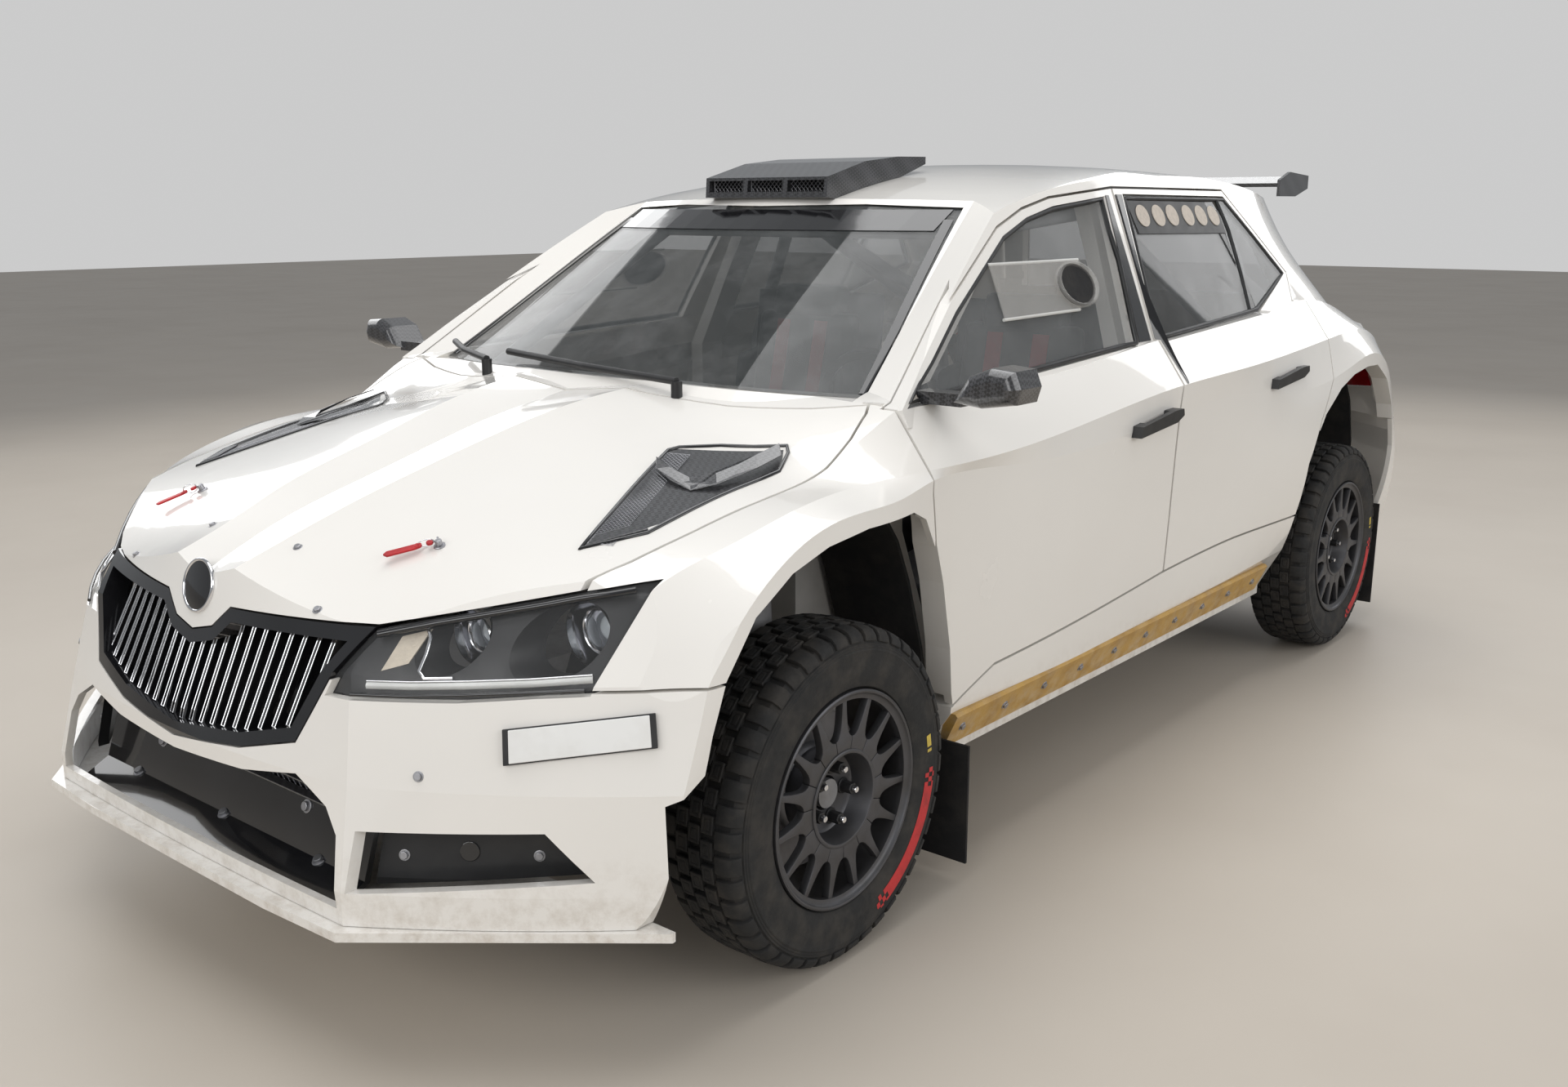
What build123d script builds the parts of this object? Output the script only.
import os
from math import cos, radians, sin

from build123d import *

os.makedirs("parts", exist_ok=True)

# A five-door rally hatchback. Millimetres, nose towards -Y, the car's left side towards +X, +Z up,
# origin on the ground under the middle of the car.

# Driving dimensions
wheelbase = 2568
front_axle_y = -1170
rear_axle_y = front_axle_y + wheelbase
nose_y = -1972
tail_y = 1996
half_width = 910
belt_rise = 0.045
sill_z = 250
roof_z = 1487
tyre_radius = 322
rim_radius = 207
half_track = 805
panel_gap = 6
skin = 14
shell_wall = 45
door_wall = 58
frame_wall = 26
glass_depth = 6
glass_wall = 5
split_y = 207
split_lean = 76
door_front_y = front_axle_y + 290
floor_wall = 18
arch_liner = 8
hub_bore = 28
running_gap = 0.3
spoke_count = 15
tube_radius = 19


def belt_z(y):
    return 1034 + belt_rise * y


# Body sections along the car, one row for each station. Columns: y; lower corner x, z; side x, z;
# flare or side top x, z; shoulder x, z; belt or hood edge x, z; hood ridge x, z; centre z.
cowl_y = front_axle_y + 290
sections = [
    (nose_y - 38, 850, 260, 897, 400, 895, 480, 790, 450, 690, 470, 60, 645, 640),
    (nose_y + 145, 850, 260, 897, 400, 894, 480, 790, 590, 690, 660, 97, 785, 772),
    (front_axle_y - 480, 855, 260, 902, 400, 898, 480, 775, 710, 700, 778, 118, 850, 838),
    (front_axle_y - 360, 860, 260, 907, 520, 902, 668, 790, 790, 717, 812, 127, 886, 870),
    (front_axle_y - 230, 862, 260, half_width, 600, 905, 788, 820, 832, 734, 841, 134, 921, 905),
    (front_axle_y - 70, 862, 260, half_width, 640, 906, 850, 828, 866, 746, 870, 152, 964, 946),
    (front_axle_y + 110, 862, 260, half_width, 640, 905, 858, 830, 880, 750, 903, 172, 996, 978),
    (cowl_y, 840, 330, 864, 600, 870, 868, 858, 885, 775, 990, 200, 1010, 1008),
    (-500, 838, 340, 853, 600, 861, 850, 862, 889, 789, belt_z(-500), 200, 1014, 1010),
    (140, 838, 350, 853, 600, 861, 870, 862, 938, 783, belt_z(140), 200, 1042, 1036),
    (650, 838, 360, 858, 600, 862, 880, 862, 953, 777, belt_z(650), 200, 1062, 1056),
    (rear_axle_y - 330, 850, 380, 904, 620, 892, 860, 862, 975, 773, belt_z(1068), 200, 1082, 1076),
    (rear_axle_y - 70, 862, 380, half_width, 680, 903, 900, 860, 992, 771, 1088, 200, 1092, 1086),
    (rear_axle_y + 180, 862, 360, half_width, 660, 903, 912, 852, 985, 768, 1040, 200, 1064, 1058),
    (rear_axle_y + 330, 858, 340, 905, 560, 897, 806, 846, 925, 764, 1000, 200, 1030, 1024),
    (tail_y + 14, 840, 300, 890, 480, 875, 640, 830, 820, 745, 960, 200, 1042, 1036),
]

# Plan outlines of the nose and tail, one row for each height. Columns: z; nose centre y; front corner x, y;
# chamfer middle x, y; chamfer end y; tail chamfer y; tail corner x, y; tail centre y.
plans = [
    (150, nose_y, 483, nose_y + 8, 700, -1806, -1618, 1800, 700, tail_y - 46, tail_y - 30),
    (315, nose_y, 483, nose_y + 10, 700, -1806, -1612, 1806, 715, tail_y - 30, tail_y - 10),
    (480, nose_y + 4, 465, nose_y + 47, 700, -1782, -1600, 1806, 720, tail_y - 22, tail_y),
    (645, nose_y + 57, 438, nose_y + 84, 695, -1735, -1530, 1800, 718, tail_y - 36, tail_y - 16),
    (810, nose_y + 102, 425, nose_y + 227, 680, -1610, -1390, 1785, 700, tail_y - 116, tail_y - 80),
    (975, nose_y + 182, 410, nose_y + 332, 660, -1500, -1250, 1750, 680, tail_y - 166, tail_y - 130),
    (1140, nose_y + 272, 400, nose_y + 432, 640, -1400, -1150, 1700, 650, tail_y - 226, tail_y - 166),
]

# Greenhouse plan outlines, one row for each height. Columns: z; screen centre y; screen corner x, y;
# pillar corner x, y; side middle x; side end x, y; rear corner middle x, y; rear corner end x, y; rear y.
cabin_plans = [
    (900, -1158, 695, -998, 834, -1040, 832, 808, 1420, 773, 1730, 665, 1850, 1895),
    (985, -1015, 662, -849, 792, -886, 795, 772, 1350, 738, 1690, 640, 1810, 1858),
    (1180, -687, 597, -547, 703, -594, 712, 690, 1250, 640, 1530, 555, 1700, 1755),
    (1375, -357, 531, -243, 614, -262, 626, 604, 1050, 572, 1330, 495, 1580, 1630),
    (1530, -95, 480, -2, 548, -10, 560, 536, 900, 508, 1200, 440, 1480, 1530),
]

# Roof crown sections. Columns: y; height at the centre below the roof's highest line.
roof_sections = [
    (-1250, 290), (-780, 190), (-310, 92), (-50, 41), (300, 9), (650, 0), (1050, 14), (1450, 58),
    (1950, 130),
]
roof_drop = 54


def section_face(y, points):
    """Symmetric closed outline of the lower body across the car."""
    low_x, low_z, side_x, side_z, top_x, top_z, *upper_points = points
    edge_x, edge_z, deck_x, deck_z, ridge_x, ridge_z, crown_z = upper_points
    with BuildSketch(Plane.XZ.offset(-y)) as face:
        with BuildLine():
            for s in (1, -1):
                Line((0, sill_z), (s * (low_x - 70), sill_z))
                Line((s * (low_x - 70), sill_z), (s * low_x, low_z))
                ThreePointArc((s * low_x, low_z), (s * side_x, side_z), (s * top_x, top_z))
                Polyline((s * top_x, top_z), (s * edge_x, edge_z), (s * deck_x, deck_z))
                Polyline((s * deck_x, deck_z), (s * ridge_x, ridge_z), (0, crown_z))
        make_face()
    return face.sketch


def lower_form(t):
    """Lower body from nose to tail, moved in by t on every side."""
    with BuildPart() as body:
        faces = []
        for y, *p in sections:
            moved = [p[0] - t, p[1] + t, p[2] - t, p[3], p[4] - t, p[5] - t, p[6] - t, p[7] - t]
            moved += [p[8] - t, p[9] - t, p[10], p[11] - t, p[12] - t]
            faces.append(section_face(y, moved))
        loft(faces)
    with BuildPart() as plan:
        outlines = []
        for z, nose, kx, ky, mx, my, ey, ty, cx, cy, tail in plans:
            with BuildSketch(Plane.XY.offset(z)) as outline:
                with BuildLine():
                    w = half_width + 8 - t
                    ThreePointArc((-kx + t, ky + t), (0, nose + t), (kx - t, ky + t))
                    for s in (1, -1):
                        ThreePointArc((s * (kx - t), ky + t), (s * (mx - t), my + t), (s * w, ey + t))
                        Line((s * w, ey + t), (s * w, ty - t))
                        Line((s * w, ty - t), (s * (cx - t), cy - t))
                    ThreePointArc((-cx + t, cy - t), (0, tail - t), (cx - t, cy - t))
                make_face()
            outlines.append(outline.sketch)
        loft(outlines, ruled=True)
    with BuildPart() as form:
        add(body.part)
        add(plan.part, mode=Mode.INTERSECT)
    return form.part


def upper_form(t):
    """Greenhouse from screen to tailgate with its crowned roof, moved in by t."""
    with BuildPart() as cabin:
        outlines = []
        for z, front, ax, ay, px, py, mx, ex, ey, rx, ry, tx, ty, rear in cabin_plans:
            with BuildSketch(Plane.XY.offset(z)) as outline:
                with BuildLine():
                    ThreePointArc((-ax + t, ay + t), (0, front + t), (ax - t, ay + t))
                    for s in (1, -1):
                        Line((s * (ax - t), ay + t), (s * (px - t), py + t))
                        ThreePointArc((s * (px - t), py + t), (s * (mx - t), 250), (s * (ex - t), ey))
                        ThreePointArc((s * (ex - t), ey), (s * (rx - t), ry - t / 2), (s * (tx - t), ty - t))
                    ThreePointArc((-tx + t, ty - t), (0, rear - t), (tx - t, ty - t))
                make_face()
            outlines.append(outline.sketch)
        loft(outlines)
    with BuildPart() as roof:
        crowns = []
        for y, dz in roof_sections:
            with BuildSketch(Plane.XZ.offset(-y)) as crown:
                with BuildLine():
                    top = roof_z - dz - t
                    eave = top - 1.5 * roof_drop
                    ThreePointArc((-860, eave), (0, top), (860, eave))
                    Polyline((860, eave), (860, 880), (-860, 880), (-860, eave))
                make_face()
            crowns.append(crown.sketch)
        loft(crowns)
    with BuildPart() as form:
        add(cabin.part)
        add(roof.part, mode=Mode.INTERSECT)
    return form.part


def side_block(points, x0, x1, grow=0):
    """Outline in the side view, pushed across the car from x0 to x1."""
    with BuildPart() as block:
        with BuildSketch(Plane.YZ.offset(x0)):
            with BuildLine():
                Polyline(*points, close=True)
            make_face()
            if grow:
                offset(amount=grow, kind=Kind.INTERSECTION)
        extrude(amount=x1 - x0)
    return block.part


def front_block(points, y0, y1, grow=0):
    """Outline in the front view, given for the left half and mirrored, pushed along the car."""
    with BuildPart() as block:
        with BuildSketch(Plane.XZ.offset(-y1)):
            with BuildLine():
                Polyline(*points, close=True)
            make_face()
            if points[0][0] == 0:
                mirror(about=Plane.YZ)
            if grow:
                offset(amount=grow, kind=Kind.INTERSECTION)
        extrude(amount=y1 - y0)
    return block.part


def top_block(points, z0, z1, grow=0):
    """Outline in the top view, given for the left half and mirrored, pushed up from z0 to z1."""
    with BuildPart() as block:
        with BuildSketch(Plane.XY.offset(z0)):
            with BuildLine():
                Polyline(*points, close=True)
            make_face()
            if points[0][0] == 0:
                mirror(about=Plane.YZ)
            if grow:
                offset(amount=grow, kind=Kind.INTERSECTION)
        extrude(amount=z1 - z0)
    return block.part


def box_between(x0, x1, y0, y1, z0, z1):
    """Box given by its low and high corners."""
    with BuildPart() as block:
        with BuildSketch(Plane.XY.offset(z0)):
            with Locations(((x0 + x1) / 2, (y0 + y1) / 2)):
                Rectangle(x1 - x0, y1 - y0)
        extrude(amount=z1 - z0)
    return block.part


def keep(solid, *tools, cut=()):
    """The solid inside every tool and outside every cut."""
    with BuildPart() as piece:
        add(solid)
        for tool in tools:
            add(tool, mode=Mode.INTERSECT)
        if cut:
            add(list(cut), mode=Mode.SUBTRACT)
    return piece.part


def join(pieces):
    """All the pieces as one part."""
    with BuildPart() as whole:
        add(list(pieces))
    return whole.part


def both_sides(solid):
    """The piece and its mirror image, as one part."""
    with BuildPart() as pair:
        add(solid)
        mirror(solid, about=Plane.YZ)
    return pair.part


def tube(ends, radius):
    """Straight round bar between two points."""
    a, b = Vector(*ends[0]), Vector(*ends[1])
    with BuildPart() as bar:
        with BuildSketch(Plane(origin=a, z_dir=b - a)):
            Circle(radius)
        extrude(amount=(b - a).length)
    return bar.part


def beam(ends, width):
    """Straight square bar between two points."""
    a, b = Vector(*ends[0]), Vector(*ends[1])
    with BuildPart() as bar:
        with BuildSketch(Plane(origin=a, x_dir=(0, 0, 1), z_dir=b - a)):
            Rectangle(width, width)
        extrude(amount=(b - a).length)
    return bar.part


def pipe(points, radius):
    """Round pieces of a bent pipe: straight runs with a ball at each bend."""
    pieces = [tube(ends, radius) for ends in zip(points, points[1:])]
    for p in points[1:-1]:
        with BuildPart() as bend:
            with Locations(p):
                Sphere(radius)
        pieces.append(bend.part)
    return pieces


def write_part(solid, name):
    solid.label = name
    export_step(solid, "parts/" + name + ".step")


lower = lower_form(0)
lower_lens = lower_form(glass_wall)
lower_skin = lower_form(skin)
lower_wall = lower_form(shell_wall)
lower_door = lower_form(door_wall)
cabin = upper_form(0)
cabin_glass = upper_form(glass_depth)
cabin_under_glass = upper_form(glass_depth + glass_wall)
cabin_frame = upper_form(frame_wall)
cabin_wall = upper_form(shell_wall)

reach = 950
bumper_seam_z = 640

# Side outlines, as y and z
split_half = 1.5
split_line = [
    (split_y + split_lean, 1416), (split_y + 25, 1000), (split_y + 11, 900), (split_y + 3, 800),
    (split_y, 700), (split_y, 470),
]
front_window_line = [
    (-857, belt_z(-857) - 2), (-718, 1076), (-580, 1160), (-296, 1307), (-170, 1346), (-36, 1371),
    (229, 1394), (split_y - 74, belt_z(split_y) - 4),
]
rear_window_line = [
    (332, 1400), (1000, 1396), (1262, 1170), (960, 1072), (split_y + 48, belt_z(split_y) - 3),
]
front_door_line = [
    (door_front_y - 4, 842), (door_front_y - 1, 890), (-876, 997), (-726, 1094), (-592, 1178), (-305, 1326),
    (-174, 1366), (-38, 1391), *[(y - split_half, z) for y, z in split_line],
    (-590, 425), (-742, 370), (-752, 400), (-772, 500), (-822, 650), (-862, 735),
]
rear_door_line = [
    *[(y + split_half, z) for y, z in split_line], (630, 482), (1010, 487), (1026, 640), (1090, 760),
    (1180, 870), (1216, 1000), (1280, 1172), (1008, 1413),
]
front_arch_line = [
    (-1642, 100), (-1634, 463), (-1566, 499), (-1548, 560), (-1513, 642), (-1441, 731), (-1349, 785),
    (-1252, 813), (-1143, 826), (-979, 825), (-918, 800), (-862, 728), (-822, 640), (-772, 490),
    (-752, 390), (-765, 100),
]
rear_arch_line = [
    (1010, 100), (1008, 480), (1012, 610), (1047, 699), (1120, 775), (1236, 840), (1339, 872), (1450, 886),
    (1544, 884), (1650, 830), (1722, 740), (1768, 600), (1776, 100),
]

# Front outlines for the left half, as x and z
hood_front_line = [
    (0, 1400), (0, 650), (60, 664), (105, 703), (432, 716), (600, 754), (700, 777), (783, 792), (950, 800),
    (950, 1400),
]
grille_line = [(0, 649), (60, 663), (105, 702), (430, 714), (336, 527), (200, 492), (0, 470)]
lamp_line = [(437, 712), (600, 752), (700, 774), (783, 789), (768, 634), (700, 630), (600, 620), (392, 612)]
intake_line = [(0, 445), (210, 455), (350, 478), (425, 440), (455, 400), (470, 285), (0, 285)]
side_inset_line = [(488, 314), (488, 412), (742, 420), (806, 340)]

# Top outlines for the left half, as x and y
hood_rear_line = [(0, -1022), (220, -1008), (430, -968), (600, -915), (706, -870)]
hood_plan_line = [(0, -2100), *hood_rear_line, (722, -900), (741, -973), (750, -1060), (746, -1249)]
hood_plan_line += [(734, -1400), (717, -1533), (699, -1607), (699, -2100)]

# Cutters that several pieces share
half_gap = panel_gap / 2
lamp_block = both_sides(front_block(lamp_line, -2100, -1400))
lamp_gap = both_sides(front_block(lamp_line, -2100, -1400, grow=3))
grille_block = front_block(grille_line, -2100, -1700)
front_arches = both_sides(side_block(front_arch_line, 545, reach))
rear_arches = both_sides(side_block(rear_arch_line, 545, reach))
belt_shelf_x = 745
front_door_low_gap = side_block(front_door_line, belt_shelf_x - panel_gap, reach, grow=half_gap)
rear_door_low_gap = side_block(rear_door_line, belt_shelf_x - panel_gap, reach, grow=half_gap)

# Hood with its two vents
vent_line = [(617, -1553), (465, -1180), (640, -1050), (690, -1120), (672, -1400)]
vent_blocks = both_sides(top_block(vent_line, 700, 1100))
hood_area = top_block(hood_plan_line, 500, 1300, grow=-half_gap)
hood_front = front_block(hood_front_line, -2100, -800, grow=-2)
hood = keep(lower, hood_front, hood_area, cut=[lower_skin, vent_blocks])
write_part(hood, "hood")
hood_vents = keep(lower, vent_blocks, cut=[lower_lens])
write_part(hood_vents, "hood_vents")

# Front fenders
fender_line = [(-1800, bumper_seam_z), (-868, bumper_seam_z), (-868, 1100), (-1800, 1100)]
fender_zone = side_block(fender_line, 705, reach)
hood_plan_gap = top_block(hood_plan_line, 500, 1300, grow=half_gap)
hood_above = keep(front_block(hood_front_line, -2100, -800), hood_plan_gap)
fender_cuts = [lower_skin, hood_above, lamp_gap, front_arches, front_door_low_gap]
front_fenders = both_sides(keep(lower, fender_zone, cut=fender_cuts))
write_part(front_fenders, "front_fenders")

# Front bumper, its black inserts, the splitter and the skid plate
splitter_top_z = 258
bumper_zone = box_between(-reach, reach, -2100, -1490, splitter_top_z + 1, bumper_seam_z - 5)
grille_gap = front_block(grille_line, -2100, -1700, grow=3)
intake_block = front_block(intake_line, -2100, -1700)
inset_blocks = both_sides(front_block(side_inset_line, -2100, -1500))
bumper_cuts = [lower_skin, grille_gap, lamp_gap, intake_block, inset_blocks, front_arches]
front_bumper = keep(lower, bumper_zone, cut=bumper_cuts)
write_part(front_bumper, "front_bumper")
insert_zone = both_sides(front_block(side_inset_line, -2100, -1500, grow=10))
front_arch_clear = both_sides(side_block(front_arch_line, 545, reach, grow=arch_liner + 2))
bumper_inserts = keep(lower_wall, insert_zone, bumper_zone, cut=[lower_door, front_arch_clear])
write_part(bumper_inserts, "bumper_inserts")
splitter_line = [(0, -1996), (300, -1995), (492, -1984), (906, -1646), (900, -1600), (0, -1600)]
splitter = keep(top_block(splitter_line, splitter_top_z - 16, splitter_top_z), cut=[front_arches])
write_part(splitter, "splitter")
skid_line = [(-1940, 268), (-1890, 294), (-1862, 380), (-1853, 378), (-1880, 288), (-1936, 260)]
skid_plate = side_block(skid_line, -440, 440)
write_part(skid_plate, "skid_plate")

# Grille with a thick surround and upright ribs
grille_frame_width = 22
rib_pitch = 33
rib_wall = 8
rib_count = 21
rib_depth = 30
grille_inner = front_block(grille_line, -2100, -1700, grow=-grille_frame_width)


def height_on(line, x):
    """Height of an outline at x, by straight lines between its points."""
    for (x0, z0), (x1, z1) in zip(line, line[1:]):
        if min(x0, x1) <= x <= max(x0, x1) and x0 != x1:
            return z0 + (z1 - z0) * (x - x0) / (x1 - x0)


grille_top = grille_line[:4]
grille_side = [grille_line[4], grille_line[3]]
grille_bottom = [grille_line[6], grille_line[5], grille_line[4]]


def rib_front(x, z):
    """Distance along the car of the ribs' front edges, which lean back and round the nose."""
    lean = 0.46 * max(z - 500, 0) + 0.05 * max(500 - z, 0)
    return nose_y + 22 + lean + 0.00024 * x * x * (0.35 + (z - 480) / 260)


ribs = []
for i in range(rib_count):
    x = (i - (rib_count - 1) / 2) * rib_pitch
    top = height_on(grille_top, abs(x)) - grille_frame_width / 2
    low_line = grille_bottom if abs(x) < grille_line[4][0] else grille_side
    low = height_on(low_line, abs(x)) + grille_frame_width / 2
    front = [(rib_front(x, z), z) for z in (low, (low + top) / 2, top)]
    back = [(y + rib_depth, z) for y, z in reversed(front)]
    ribs.append(side_block(front + back, x - rib_wall / 2, x + rib_wall / 2))
grille = join([keep(lower, grille_block, cut=[lower_wall, grille_inner]), *ribs])
write_part(grille, "grille")
radiator = box_between(-330, 330, -1835, -1797, 300, 620)
write_part(radiator, "radiator")

# Headlamps and their lenses
headlamps = keep(lower_skin, lamp_block, cut=[lower_door])
write_part(headlamps, "headlamps")
headlamp_lenses = keep(lower, lamp_block, cut=[lower_lens])
write_part(headlamp_lenses, "headlamp_lenses")

# Body shell: cowl, pillars, roof, sills and quarter panels over an inner frame
front_cut_line = [(0, -2100)] + [(x, y + half_gap) for x, y in hood_rear_line]
front_cut_line += [(730, door_front_y + 4), (reach, door_front_y + 4), (reach, -2100)]
front_cut = top_block(front_cut_line, 100, 1300)
tailgate_line = [
    (0, 1500), (0, 700), (600, 700), (598, 900), (575, 1050), (500, 1300), (478, 1400), (470, 1500),
]
tailgate_cut = front_block(tailgate_line, 1512, 2100, grow=8)
rear_bumper_line = [(1640, 100), (2100, 100), (2100, 690), (1640, 690)]
rear_bumper_cut = side_block(rear_bumper_line, -reach, reach, grow=3)
tail_lamp_line = [(622, 770), (850, 790), (850, 940), (628, 960)]
tail_lamp_cut = both_sides(front_block(tail_lamp_line, 1750, 2050))
screen_line = [(0, 1013), (210, 1012), (664, 998), (520, 1368), (290, 1376), (0, 1372)]
screen_cut = front_block(screen_line, -1250, 0)
outer_shell = join([lower, cabin])
inner_shell = join([lower_wall, cabin_wall])
shell_walls = keep(outer_shell, cut=[inner_shell])

# Door openings above the belt: the windscreen pillar keeps its front face, inboard of the door's edge
pillar_line = [(500, 960), (754, 960), (671, 1180), (580, 1380), (560, 1425), (500, 1425)]
pillar_strip_line = [(-960, 960), (-250, 1420), (-170, 1366), (-860, 920)]
pillar_core = keep(front_block(pillar_line, -1000, 0), side_block(pillar_strip_line, 500, reach))
door_gaps = join([side_block(front_door_line, 500, reach, grow=half_gap),
                  side_block(rear_door_line, 500, reach, grow=half_gap)])
above_belt = box_between(500, reach, -1000, 1400, 960, 1500)
high_gap = keep(door_gaps, above_belt, cut=[pillar_core])

pad_z = 240
post_inner_x = 690
post_outer_x = 735
front_post_line = [
    (-735, 262), (-735, 400), (-750, 500), (-800, 645), (-845, 735), (-868, 850), (-868, 1000), (-800, 1000),
    (-790, 735), (-690, 500), (-680, 262),
]
middle_post_side = [(160, 262), (250, 262), (250, 955), (330, 1440), (240, 1440), (160, 955)]
middle_post_front = [
    (post_inner_x, 262), (post_outer_x, 262), (post_outer_x, 960), (650, 1180), (572, 1390), (540, 1430),
    (500, 1430), (532, 1375), (612, 1180), (post_inner_x, 960),
]
rocker_line = [(-735, pad_z), (990, pad_z), (990, 464), (630, 462), (207, 452), (-590, 406), (-735, 358)]
inner_frame = [
    side_block(front_post_line, post_inner_x, post_outer_x),
    keep(front_block(middle_post_front, 100, 400), side_block(middle_post_side, 400, 900)),
    side_block(rocker_line, post_inner_x, 790),
    box_between(post_inner_x, post_outer_x, 938, 998, 262, 960),
    box_between(post_inner_x, post_outer_x, 940, 1400, 900, 960),
    box_between(post_inner_x, 830, 1300, 1400, 900, 960),
    box_between(420, 500, -1790, -900, 420, 500),
    box_between(570, 700, -1240, -1100, 838, 850),
    box_between(640, 690, -1240, -840, 846, 858),
]
liner_outer_x = 772
left_half = box_between(0, reach, -2100, 2100, 100, 1600)
opening_cuts = [front_cut, rear_arches, tailgate_cut, rear_bumper_cut, screen_cut, tail_lamp_cut]
opening_cuts += [front_door_low_gap, rear_door_low_gap, high_gap]
opening_cuts.append(side_block(front_arch_line, 545, reach, grow=arch_liner))
opening_cuts.append(side_block(rear_arch_line, 545, liner_outer_x, grow=arch_liner))
opening_cuts.append(box_between(706, reach, -880, -866, 600, 998))
with BuildPart() as shell:
    add(shell_walls)
    add(left_half, mode=Mode.INTERSECT)
    for tool in opening_cuts:
        add(tool, mode=Mode.SUBTRACT)
    add(inner_frame)
    mirror(about=Plane.YZ)
    add(box_between(-430, 430, -1795, -1765, 420, 480))
body_shell = shell.part
write_part(body_shell, "body_shell")

# Windscreen
windscreen = keep(cabin_glass, front_block(screen_line, -1250, 0, grow=-1), cut=[cabin_under_glass])
write_part(windscreen, "windscreen")

# Doors with their windows
panel_line = [
    (775, 300), (775, 720), (belt_shelf_x, 780), (belt_shelf_x, 1100), (reach, 1100), (reach, 300),
]
belt_zone = front_block(panel_line, -1000, 1400)
frame_line = [(760, 960), (677, 1180), (586, 1380), (566, 1425), (reach, 1425), (reach, 960)]
glass_line = [(777, 960), (694, 1180), (603, 1380), (583, 1425), (reach, 1425), (reach, 960)]
frame_zone = front_block(frame_line, -1000, 1400)
glass_zone = front_block(glass_line, -1000, 1400)
handle_line = [(-52, 846), (140, 862), (176, 876), (172, 892), (130, 892), (-44, 872)]
finger_line = [(-14, 840), (112, 850), (122, 900), (-4, 900)]
doors = [
    ("front", front_door_line, front_window_line, 0, 0),
    ("rear", rear_door_line, rear_window_line, 826, 34),
]
door_toe = box_between(700, 815, -760, -688, 360, 392)
for name, line, window, handle_dy, handle_dz in doors:
    opening = side_block(line, 500, reach, grow=-half_gap)
    pane = side_block(window, 500, reach)
    panel = keep(lower, opening, belt_zone, cut=[lower_door, pane, door_toe])
    frame = keep(cabin, opening, frame_zone, cut=[cabin_frame, pane])
    glass = keep(cabin_glass, pane, glass_zone, cut=[cabin_under_glass])
    grip_line = [(y + handle_dy, z + handle_dz) for y, z in handle_line]
    gap_line = [(y + handle_dy, z + handle_dz) for y, z in finger_line]
    grip = keep(side_block(grip_line, 840, 890), cut=[lower, side_block(gap_line, 830, 876)])
    for piece, label in ((join([panel, frame]), "door"), (glass, "window"), (grip, "handle")):
        write_part(piece, name + "_" + label + "_left")
        write_part(keep(mirror(piece, about=Plane.YZ)), name + "_" + label + "_right")

# Mirrors on the front doors
mirror_line = [
    (866, 1008), (902, 1062), (950, 1080), (1000, 1076), (1013, 1044), (1004, 1014), (930, 1002),
]
with BuildPart() as mirror_piece:
    add(front_block(mirror_line, -836, -738))
    fillet(mirror_piece.edges().group_by(Axis.Y)[0], 24)
    fillet(mirror_piece.edges().group_by(Axis.Y)[-1], 5)
    add(side_block([(-812, 1000), (-812, 1024), (-766, 1024), (-766, 1000)], 770, 880))
mirror_left = keep(mirror_piece.part, cut=[lower, cabin])
write_part(mirror_left, "mirror_left")
write_part(keep(mirror(mirror_left, about=Plane.YZ)), "mirror_right")

# Tailgate with its glass and wing
tailgate_zone = front_block(tailgate_line, 1520, 2100)
tail_glass_line = [(0, 1075), (0, 1345), (400, 1340), (488, 1075)]
tail_glass_zone = front_block(tail_glass_line, 1560, 2100)
gate_rim_line = [(1500, 1372), (1560, 1372), (1606, 1300), (1654, 1220), (1728, 1100), (1500, 1100)]
gate_rim_cut = both_sides(side_block(gate_rim_line, 470, 640))
tailgate = keep(shell_walls, tailgate_zone, cut=[tail_glass_zone, gate_rim_cut])
write_part(tailgate, "tailgate")
tailgate_glass = keep(cabin_glass, tail_glass_zone, cut=[cabin_under_glass])
write_part(tailgate_glass, "tailgate_glass")

wing_line = [(1640, 1440), (1720, 1462), (1850, 1452), (1850, 1444), (1725, 1446), (1645, 1428)]
end_plate_line = [(1620, 1398), (1620, 1450), (1700, 1476), (1866, 1466), (1866, 1424), (1760, 1398)]
wing_foot_line = [(1600, 1380), (1600, 1436), (1670, 1440), (1670, 1380)]
with BuildPart() as wing:
    add(side_block(wing_line, -515, 515))
    add(both_sides(side_block(end_plate_line, 513, 523)))
    add(both_sides(side_block(wing_foot_line, 300, 318)))
rear_wing = keep(wing.part, cut=[cabin])
write_part(rear_wing, "rear_wing")

# Rear bumper and tail lamps
exhaust_notch = box_between(372, 468, 1800, 2100, 100, 312)
rear_cuts = [lower_skin, rear_arches, tailgate_cut, exhaust_notch]
rear_bumper = keep(lower, side_block(rear_bumper_line, -reach, reach), cut=rear_cuts)
write_part(rear_bumper, "rear_bumper")
tail_lamps = keep(lower, both_sides(front_block(tail_lamp_line, 1750, 2050, grow=-2)), cut=[lower_wall])
write_part(tail_lamps, "tail_lamps")

# Roof scoop
scoop_line = [(-352, 1392), (-348, 1440), (-200, 1478), (-60, 1492), (60, 1494), (60, 1476), (-250, 1380)]
scoop_mouth_line = [(-360, 1404), (-360, 1430), (-230, 1458), (-230, 1424)]
with BuildPart() as scoop:
    add(side_block(scoop_line, -195, 195))
    for x in (-128, 0, 128):
        add(side_block(scoop_mouth_line, x - 56, x + 56), mode=Mode.SUBTRACT)
roof_scoop = keep(scoop.part, cut=[cabin])
write_part(roof_scoop, "roof_scoop")

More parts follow.
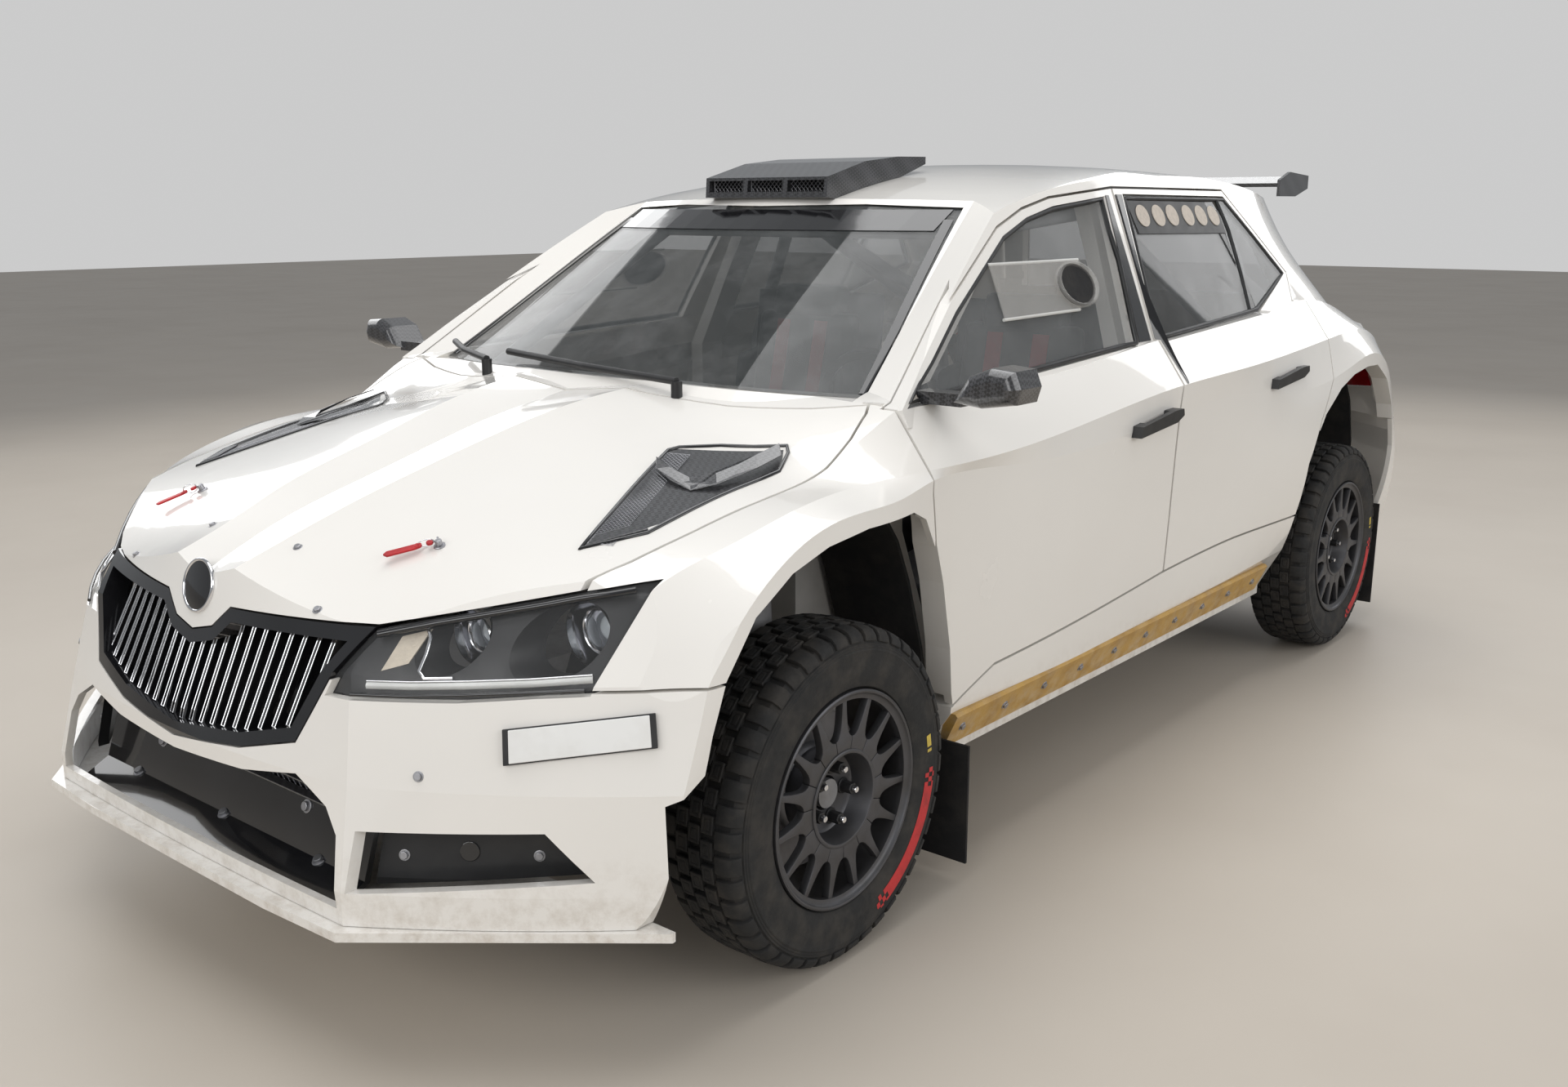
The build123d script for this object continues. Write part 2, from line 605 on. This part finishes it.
# Wheel planes: origin at the wheel's centre, local x outwards from the car, local y up
corners = [
    ("front_left", 1, front_axle_y), ("front_right", -1, front_axle_y),
    ("rear_left", 1, rear_axle_y), ("rear_right", -1, rear_axle_y),
]
tyre_line = [(-76, rim_radius - 2), (-91, 262), (-74, 310), (74, 310), (91, 262), (76, rim_radius - 2)]
lug_count = 28
lug_depth = 10
lug_corners = []
for i in range(lug_count):
    for turn, inwards in ((-3.9, 0), (3.9, 0), (4.4, lug_depth), (8.4, lug_depth)):
        angle = radians(i * 360 / lug_count + turn)
        lug_corners.append(((tyre_radius - inwards) * cos(angle), (tyre_radius - inwards) * sin(angle)))
barrel_line = [(-76, rim_radius - 2), (78, rim_radius - 2), (88, rim_radius - 7), (80, 189), (-76, 194)]
disc_radius = 152
disc_face = -10
disc_back = -24
face_line = [
    (disc_back, hub_bore), (20, hub_bore), (20, 68), (62, 90), (78, 192), (64, 194), (46, 108), (6, 84),
    (6, 60), (disc_face, 60), (disc_face, disc_radius), (disc_back, disc_radius),
]
nut_count = 5
for name, s, axle_y in corners:
    plane = Plane(origin=(s * half_track, axle_y, tyre_radius), x_dir=(s, 0, 0), z_dir=(0, -s, 0))
    face_plane = Plane(origin=plane.origin, x_dir=(0, 1, 0), z_dir=(s, 0, 0))
    spin = Axis(plane.origin, (1, 0, 0))
    with BuildPart() as tyre:
        with BuildSketch(face_plane.offset(-74)):
            with BuildLine():
                Polyline(*lug_corners, close=True)
            make_face()
            Circle(300, mode=Mode.SUBTRACT)
        extrude(amount=148)
        with BuildSketch(plane):
            with BuildLine():
                Polyline(*tyre_line, close=True)
            make_face()
        revolve(axis=spin)
    write_part(tyre.part, "tyre_" + name)
    with BuildPart() as rim:
        with BuildSketch(plane):
            for outline in (barrel_line, face_line):
                with BuildLine():
                    Polyline(*outline, close=True)
                make_face()
        revolve(axis=spin)
        with BuildSketch(face_plane):
            with PolarLocations(153, spoke_count):
                Trapezoid(62, 70, 75, rotation=90)
        extrude(amount=100, mode=Mode.SUBTRACT)
        with BuildSketch(face_plane.offset(18)):
            with PolarLocations(50, nut_count):
                RegularPolygon(11, 6)
        extrude(amount=26)
    write_part(rim.part, "rim_" + name)

# Front knuckles: hub carrier, caliper, strut and spring, turning about the steering axis
spindle_radius = hub_bore - running_gap
ball_x = 745
ball_z = 195
strut_x = 632
strut_z = 830
steer_axis = Plane(origin=(ball_x, front_axle_y, ball_z), z_dir=(strut_x - ball_x, 0, strut_z - ball_z))


def upright(y):
    """Hub carrier, spindle and brake caliper for the left side, at an axle."""
    back_x = half_track + disc_back
    with BuildPart() as carrier:
        add(tube([(700, y, tyre_radius), (back_x - 4, y, tyre_radius)], 66))
        add(tube([(back_x - 6, y, tyre_radius), (half_track + 40, y, tyre_radius)], spindle_radius))
        add(box_between(ball_x - 22, ball_x + 22, y - 26, y + 26, ball_z - 4, tyre_radius))
        add(box_between(back_x - 24, half_track + 16, y + 95, y + 172, tyre_radius - 45, tyre_radius + 45))
        add(box_between(back_x - 24, back_x - 4, y + 30, y + 110, tyre_radius - 25, tyre_radius + 25))
        disc_run = [(back_x - 3, y, tyre_radius), (half_track + disc_face + 3, y, tyre_radius)]
        add(tube(disc_run, disc_radius + 4), mode=Mode.SUBTRACT)
        add(tube([(back_x - 6, y, tyre_radius), (half_track + 40, y, tyre_radius)], spindle_radius))
    return carrier.part


with BuildPart() as knuckle:
    add(upright(front_axle_y))
    add(tube([(655, front_axle_y, 300), (636, front_axle_y, 700)], 26))
    add(tube([(645, front_axle_y, 560), (634, front_axle_y, 800)], 52))
    add(box_between(640, 712, front_axle_y - 30, front_axle_y + 30, 290, 380))
    with BuildSketch(steer_axis.offset(-30)):
        Circle(10 + running_gap)
    extrude(amount=60, mode=Mode.SUBTRACT)
write_part(knuckle.part, "knuckle_left")
write_part(keep(mirror(knuckle.part, about=Plane.YZ)), "knuckle_right")

# Suspension fixed to the body: arms, rear uprights, rear struts and cross members
with BuildPart() as corner:
    add(beam([(380, front_axle_y - 130, 236), (720, front_axle_y, 172)], 28))
    add(beam([(380, front_axle_y + 150, 236), (720, front_axle_y, 172)], 28))
    add(tube([(700, front_axle_y, 170), (ball_x + 6, front_axle_y, 166)], 17))
    with BuildSketch(steer_axis.offset(-30)):
        Circle(10)
    extrude(amount=46)
    add(upright(rear_axle_y))
    add(beam([(380, rear_axle_y - 130, 240), (ball_x, rear_axle_y, 200)], 28))
    add(beam([(380, rear_axle_y + 130, 240), (ball_x, rear_axle_y, 200)], 28))
    add(box_between(640, 712, rear_axle_y - 30, rear_axle_y + 30, 290, 380))
    add(tube([(655, rear_axle_y, 300), (636, rear_axle_y, 760)], 26))
    add(tube([(645, rear_axle_y, 560), (636, rear_axle_y, 740)], 52))
with BuildPart() as suspension:
    add(both_sides(corner.part))
    add(both_sides(tube([(632, front_axle_y, 808), (632, front_axle_y, 837)], 40)))
    add(box_between(-420, 420, front_axle_y + 120, front_axle_y + 190, 216, 262))
    add(box_between(-420, 420, front_axle_y - 170, front_axle_y - 110, 216, 262))
    add(box_between(-420, 420, rear_axle_y - 160, rear_axle_y - 100, 222, 262))
    add(box_between(-420, 420, rear_axle_y + 100, rear_axle_y + 160, 222, 262))
write_part(suspension.part, "suspension")

# Engine, gearbox and drive shafts
engine_block = box_between(-330, 250, -1620, front_axle_y - 190, 300, 760)
write_part(engine_block, "engine_block")
shaft_half = 604
with BuildPart() as drive_line:
    add(box_between(-170, 190, front_axle_y - 180, front_axle_y + 110, 270, 470))
    shaft_z = tyre_radius + 8
    add(tube([(-shaft_half, front_axle_y, shaft_z), (shaft_half, front_axle_y, shaft_z)], 14))
    add(tube([(0, front_axle_y + 100, 300), (0, rear_axle_y - 120, 300)], 30))
    add(box_between(-110, 110, rear_axle_y - 130, rear_axle_y + 90, 270, 410))
    add(tube([(-shaft_half, rear_axle_y, tyre_radius), (shaft_half, rear_axle_y, tyre_radius)], 14))
write_part(drive_line.part, "drive_line")
exhaust_run = [(150, -950, 236), (150, 1180, 236), (150, 1225, 386), (150, 1600, 386), (420, 1720, 300)]
exhaust = join(pipe([*exhaust_run, (420, 1975, 262)], 30))
write_part(exhaust, "exhaust")

# Arch liners, with a hole for each front strut
strut_holes = both_sides(tube([(632, front_axle_y, 780), (632, front_axle_y, 860)], 46))
liners = []
for line in (front_arch_line, rear_arch_line):
    outside = side_block(line, 560, liner_outer_x, grow=arch_liner)
    curve = keep(outside, cut=[side_block(line, 550, reach), strut_holes])
    liners.append(both_sides(keep(curve, box_between(500, reach, -2000, 2000, 300, 1000))))
write_part(join(liners), "arch_liners")

# Floor with an open tunnel, firewall, footwell sides and a raised rear floor
floor_z = 270
firewall_half = 545
firewall_y = door_front_y - floor_wall
footwell_y = -730
rear_step_y = 1000
rear_floor_z = 440
rear_floor_top = rear_floor_z + floor_wall
tunnel_hole = box_between(-105, 105, -2000, rear_step_y + 10, 200, rear_floor_z)
floor_line = [
    (0, firewall_y), (firewall_half, firewall_y), (firewall_half, footwell_y),
    (post_inner_x - 1, footwell_y), (post_inner_x - 1, rear_step_y), (0, rear_step_y),
]
floor_pieces = [
    top_block(floor_line, floor_z, floor_z + floor_wall),
    box_between(-120, 120, firewall_y, rear_step_y, floor_z, 456),
    box_between(-firewall_half, firewall_half, firewall_y, door_front_y, floor_z, 930),
    box_between(533, firewall_half, firewall_y, footwell_y, floor_z, 690),
    box_between(-firewall_half, -533, firewall_y, footwell_y, floor_z, 690),
    box_between(-firewall_half, firewall_half, rear_step_y - 10, rear_step_y + 5, floor_z, rear_floor_top),
    box_between(-firewall_half, firewall_half, rear_step_y - 10, 1700, rear_floor_z, rear_floor_top),
]
floor_pan = keep(join(floor_pieces), cut=[tunnel_hole])
write_part(floor_pan, "floor_pan")

# Seats with their side wings
driver_x = 370
seat_line = [
    (-300, 330), (200, 300), (310, 700), (350, 1120), (270, 1150), (200, 760), (110, 470), (-280, 460),
]
seat_wing_line = [(-300, 330), (200, 300), (300, 720), (170, 700), (70, 540), (-290, 520)]
with BuildPart() as seats:
    for x in (-driver_x, driver_x):
        add(side_block(seat_line, x - 240, x + 240))
        add(side_block(seat_wing_line, x - 250, x - 205))
        add(side_block(seat_wing_line, x + 205, x + 250))
write_part(seats.part, "seats")

# Roll cage
cage_left = [
    [(640, 360, 300), (655, 380, 960), (520, 400, 1362), (530, 1240, 960), (510, 1300, 470)],
    [(650, -650, 300), (660, -785, 900), (490, -190, 1312), (520, 400, 1362)],
    [(652, -677, 430), (648, 369, 640)],
]
cage_cross = [
    [(-520, 400, 1362), (520, 400, 1362)], [(-490, -190, 1312), (490, -190, 1312)],
    [(-520, 400, 1362), (511, 1296, 500)], [(-652, 376, 900), (652, 376, 900)],
]
runs = cage_cross + [[(s * x, y, z) for x, y, z in run] for run in cage_left for s in (1, -1)]
feet = [
    box_between(600, 688, 310, 410, floor_z + floor_wall + running_gap, 302),
    box_between(600, 688, -700, -600, floor_z + floor_wall + running_gap, 302),
    box_between(462, 556, 1250, 1350, rear_floor_z + floor_wall + running_gap, 472),
]
cage_pieces = [both_sides(foot) for foot in feet]
cage_pieces += [piece for run in runs for piece in pipe(run, tube_radius)]
roll_cage = join(cage_pieces)
write_part(roll_cage, "roll_cage")

# Dashboard with steering column and wheel
with BuildPart() as dashboard:
    add(side_block([(-835, 700), (-835, 930), (-700, 950), (-580, 900), (-560, 800), (-640, 700)], -612, 612))
    add(tube([(driver_x, -700, 760), (driver_x, -372, 890)], 20))
    with BuildSketch(Plane(origin=(driver_x, -372, 890), z_dir=(0, 328, 130))):
        Circle(165)
        Circle(145, mode=Mode.SUBTRACT)
        Rectangle(300, 30)
        Circle(40)
    extrude(amount=22)
write_part(dashboard.part, "dashboard")

# Wipers, lying along the foot of the windscreen
wiper_runs = [
    [(300, -985, 1022), (0, -964, 1031), (-300, -926, 1042)],
    [(-330, -968, 1026), (-470, -922, 1035), (-580, -862, 1044)],
]
wiper_pieces = [tube([(run[0][0], run[0][1], 985), run[0]], 12) for run in wiper_runs]
wiper_pieces += [piece for run in wiper_runs for piece in pipe(run, 8)]
wipers = keep(join(wiper_pieces), cut=[cabin, outer_shell])
write_part(wipers, "wipers")

# Mudflaps
with BuildPart() as flaps:
    add(both_sides(box_between(700, 886, -757, -751, 40, 299)))
    add(both_sides(box_between(700, 886, 1763, 1769, 60, 400)))
write_part(flaps.part, "mudflaps")

# Guards along the sills
guard_line = [(800, 274), (814, 274), (848, 348), (842, 354), (820, 354)]
guards = keep(front_block(guard_line, -742, 905), cut=[lower])
write_part(both_sides(guards), "sill_guards")
